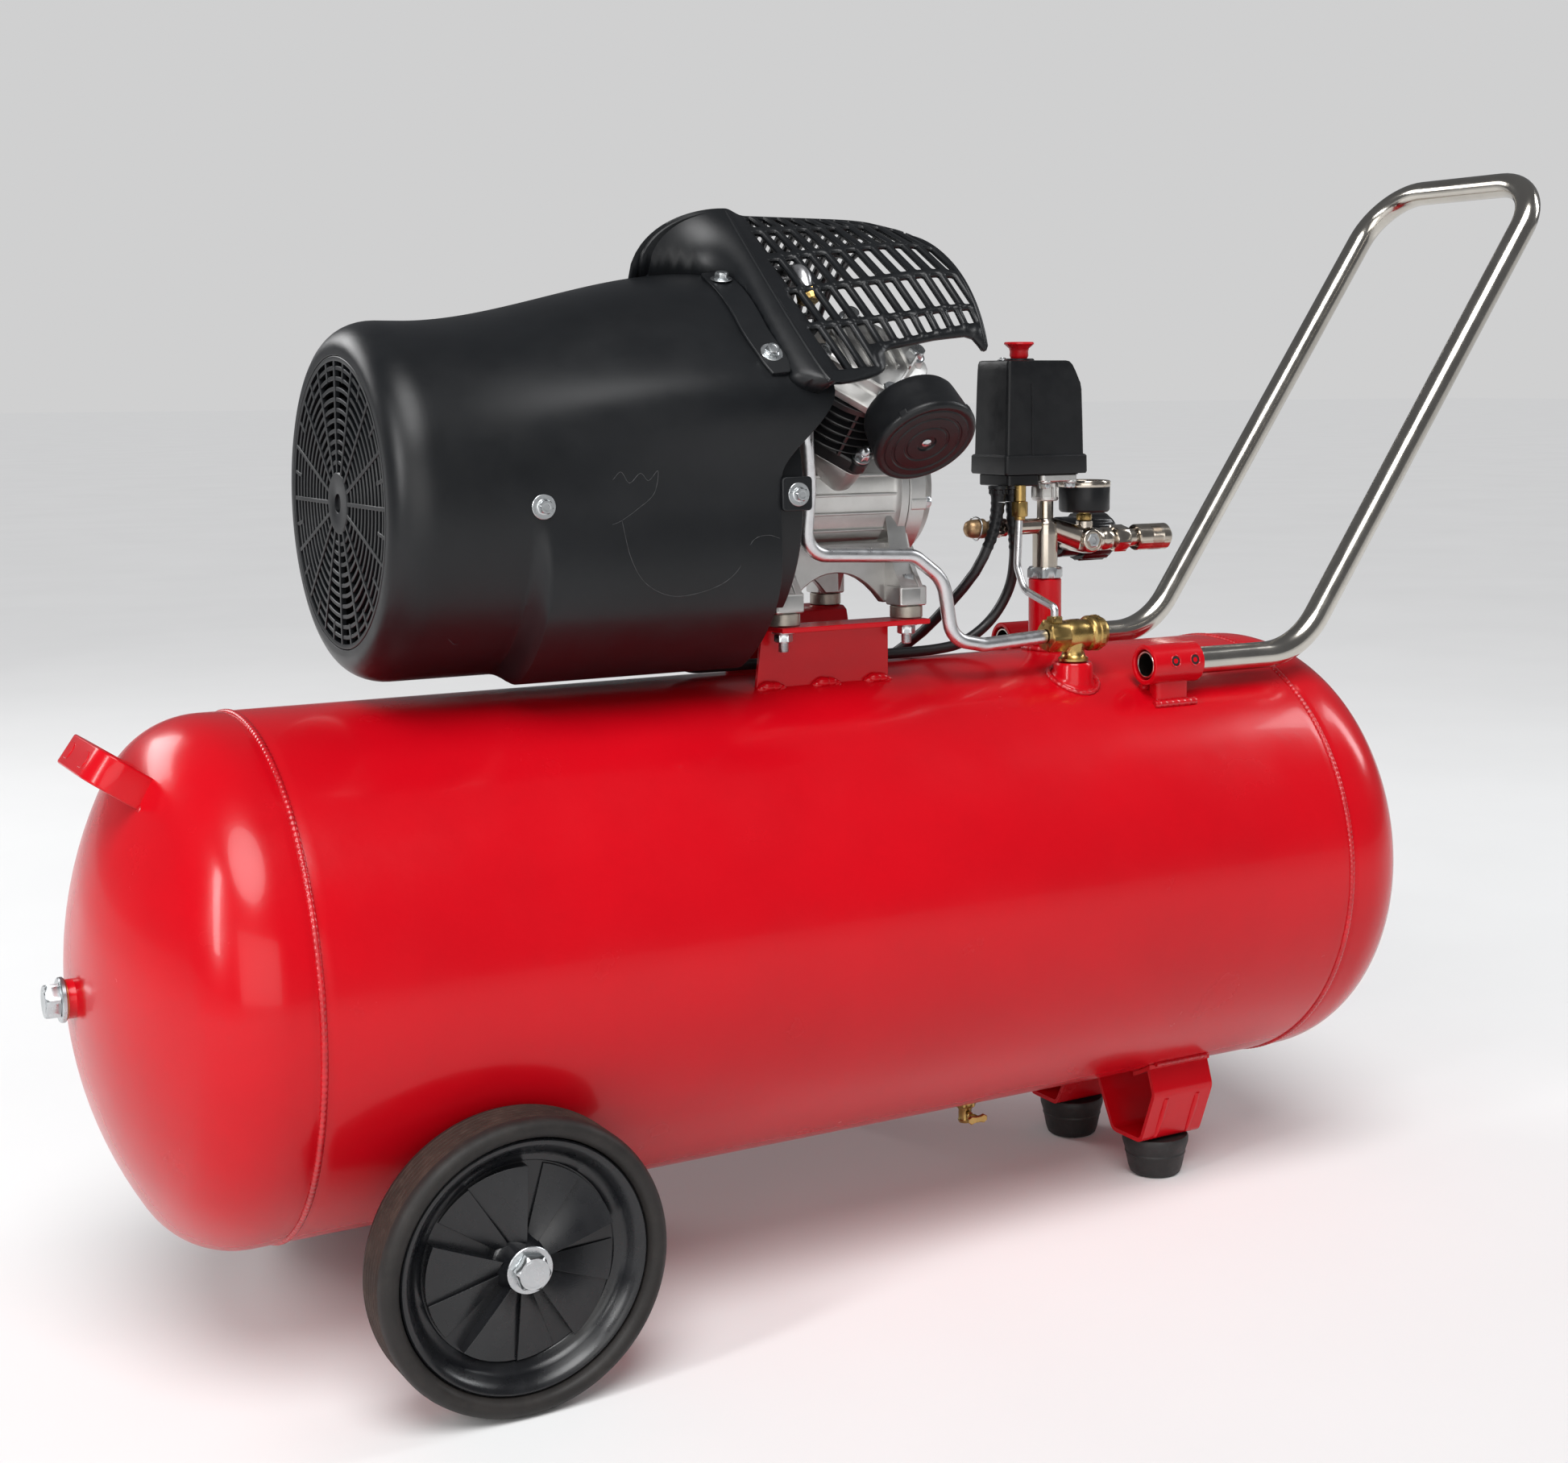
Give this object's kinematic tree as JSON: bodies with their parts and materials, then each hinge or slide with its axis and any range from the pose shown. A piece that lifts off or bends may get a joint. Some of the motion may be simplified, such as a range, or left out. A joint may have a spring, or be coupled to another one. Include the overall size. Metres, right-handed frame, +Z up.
{
  "type": "wheeled air compressor",
  "caption": "Direct-drive V-twin piston air compressor on a horizontal tank, with wheels, rubber feet, a tube handle, a regulated outlet and a mains lead.",
  "frame": {"origin": "on the ground under the middle of the machine, without its mains lead", "axes": "+X along the tank towards the handle end, +Y across to the far side, away from the drain tap and check valve, +Z up"},
  "size_m": [1.2664, 0.5938, 0.8397],
  "materials": {
    "tank_paint": "gloss red powder coat",
    "zinc": "bright zinc plate",
    "brass": "turned, slightly tarnished",
    "tyre": "worn solid rubber tread",
    "gloss_plastic": "gloss black moulding",
    "foot_rubber": "matt moulded rubber",
    "cable_rubber": "black flex sheath",
    "isolator": "dull bronze spacer",
    "cast_aluminium": "bead-blasted die casting",
    "black_iron": "black painted casting",
    "bare_aluminium": "drawn tube, satin",
    "black_plastic": "fine textured black moulding",
    "machined_iron": "machined",
    "copper": "varnished windings and laminations",
    "nickel": "nickel plate",
    "red_plastic": "gloss red moulding",
    "handle_steel": "polished stainless tube"
  },
  "bodies": {
    "frame": {"tank_shell": "tank_paint", "tank_head_left": "tank_paint", "end_plug": "zinc", "tank_head_right": "tank_paint", "lift_strap": "tank_paint", "drain_cock": "brass", "axle_bolt_near": "zinc", "axle_bolt_far": "zinc", "foot_bracket_near": "tank_paint", "rubber_foot_near": "foot_rubber", "foot_bracket_far": "tank_paint", "rubber_foot_far": "foot_rubber", "pump_bracket_near": "tank_paint", "isolator_near_1": "isolator", "isolator_near_2": "isolator", "pump_bracket_far": "tank_paint", "isolator_far_1": "isolator", "isolator_far_2": "isolator", "crankcase": "cast_aluminium", "crankcase_cover": "cast_aluminium", "cylinder_near": "black_iron", "cylinder_head_near": "cast_aluminium", "piston_near": "bare_aluminium", "air_filter_near": "black_plastic", "cylinder_far": "black_iron", "cylinder_head_far": "cast_aluminium", "piston_far": "bare_aluminium", "air_filter_far": "black_plastic", "stator": "copper", "motor_shroud": "black_plastic", "fan_grille": "black_plastic", "head_guard": "black_plastic", "discharge_tube": "bare_aluminium", "crossover_tube": "bare_aluminium", "check_valve": "brass", "unloader_tube": "bare_aluminium", "manifold": "nickel", "gauge": "gloss_plastic", "switch_flange": "cast_aluminium", "switch_base": "black_plastic", "switch_cover": "black_plastic", "handle": "handle_steel", "motor_lead": "cable_rubber", "mains_lead": "cable_rubber", "mains_coil": "cable_rubber", "mains_plug": "cable_rubber"},
    "wheel_near": {"tyre_near": "tyre", "rim_near": "gloss_plastic"},
    "wheel_far": {"tyre_far": "tyre", "rim_far": "gloss_plastic"},
    "crank": {"crankshaft": "machined_iron", "rotor": "machined_iron", "cooling_fan": "gloss_plastic"},
    "rod_near": {"connecting_rod_near": "cast_aluminium"},
    "rod_far": {"connecting_rod_far": "cast_aluminium"},
    "switch_knob": {"switch_knob": "red_plastic"},
    "regulator_knob": {"regulator_knob": "gloss_plastic"},
    "coupler_sleeve": {"coupler_sleeve": "nickel"},
    "safety_valve_pull": {"safety_valve_pull": "brass"},
    "drain_tap": {"drain_tap": "brass"}
  },
  "joints": [
    {"name": "wheel_near_spin", "type": "hinge", "parent": "frame", "child": "wheel_near", "pos_m": [-0.38611, -0.192, 0.098], "axis": [0, 1, 0], "continuous": true},
    {"name": "wheel_far_spin", "type": "hinge", "parent": "frame", "child": "wheel_far", "pos_m": [-0.38611, 0.192, 0.098], "axis": [0, 1, 0], "continuous": true},
    {"name": "crank_spin", "type": "hinge", "parent": "frame", "child": "crank", "pos_m": [-0.08351, 0, 0.577], "axis": [1, 0, 0], "continuous": true},
    {"name": "rod_near_turn", "type": "hinge", "parent": "crank", "child": "rod_near", "pos_m": [-0.06551, 0, 0.587], "axis": [1, 0, 0], "continuous": true},
    {"name": "rod_far_turn", "type": "hinge", "parent": "crank", "child": "rod_far", "pos_m": [-0.05351, 0, 0.587], "axis": [1, 0, 0], "continuous": true},
    {"name": "switch_knob_pull", "type": "slide", "parent": "frame", "child": "switch_knob", "axis": [0, 0, 1], "range_m": [0, 0.008]},
    {"name": "regulator_turn", "type": "hinge", "parent": "frame", "child": "regulator_knob", "pos_m": [0.23649, 0.038, 0.527], "axis": [1, 0, 0], "range_deg": [0, 630]},
    {"name": "coupler_release", "type": "slide", "parent": "frame", "child": "coupler_sleeve", "axis": [-1, 0, 0], "range_m": [0, 0.005], "stiffness_N_per_m": 1500, "springref_m": -0.002},
    {"name": "safety_valve_lift", "type": "slide", "parent": "frame", "child": "safety_valve_pull", "axis": [-1, 0, 0], "range_m": [0, 0.003], "stiffness_N_per_m": 3000, "springref_m": -0.002},
    {"name": "drain_tap_turn", "type": "hinge", "parent": "frame", "child": "drain_tap", "pos_m": [0.08149, -0.0063, 0.059], "axis": [0, 1, 0], "range_deg": [0, 90]}
  ],
  "couplings": [
    {"joint": "rod_near_turn", "follows": "crank_spin", "ratio": -1},
    {"joint": "rod_far_turn", "follows": "crank_spin", "ratio": -1}
  ]
}
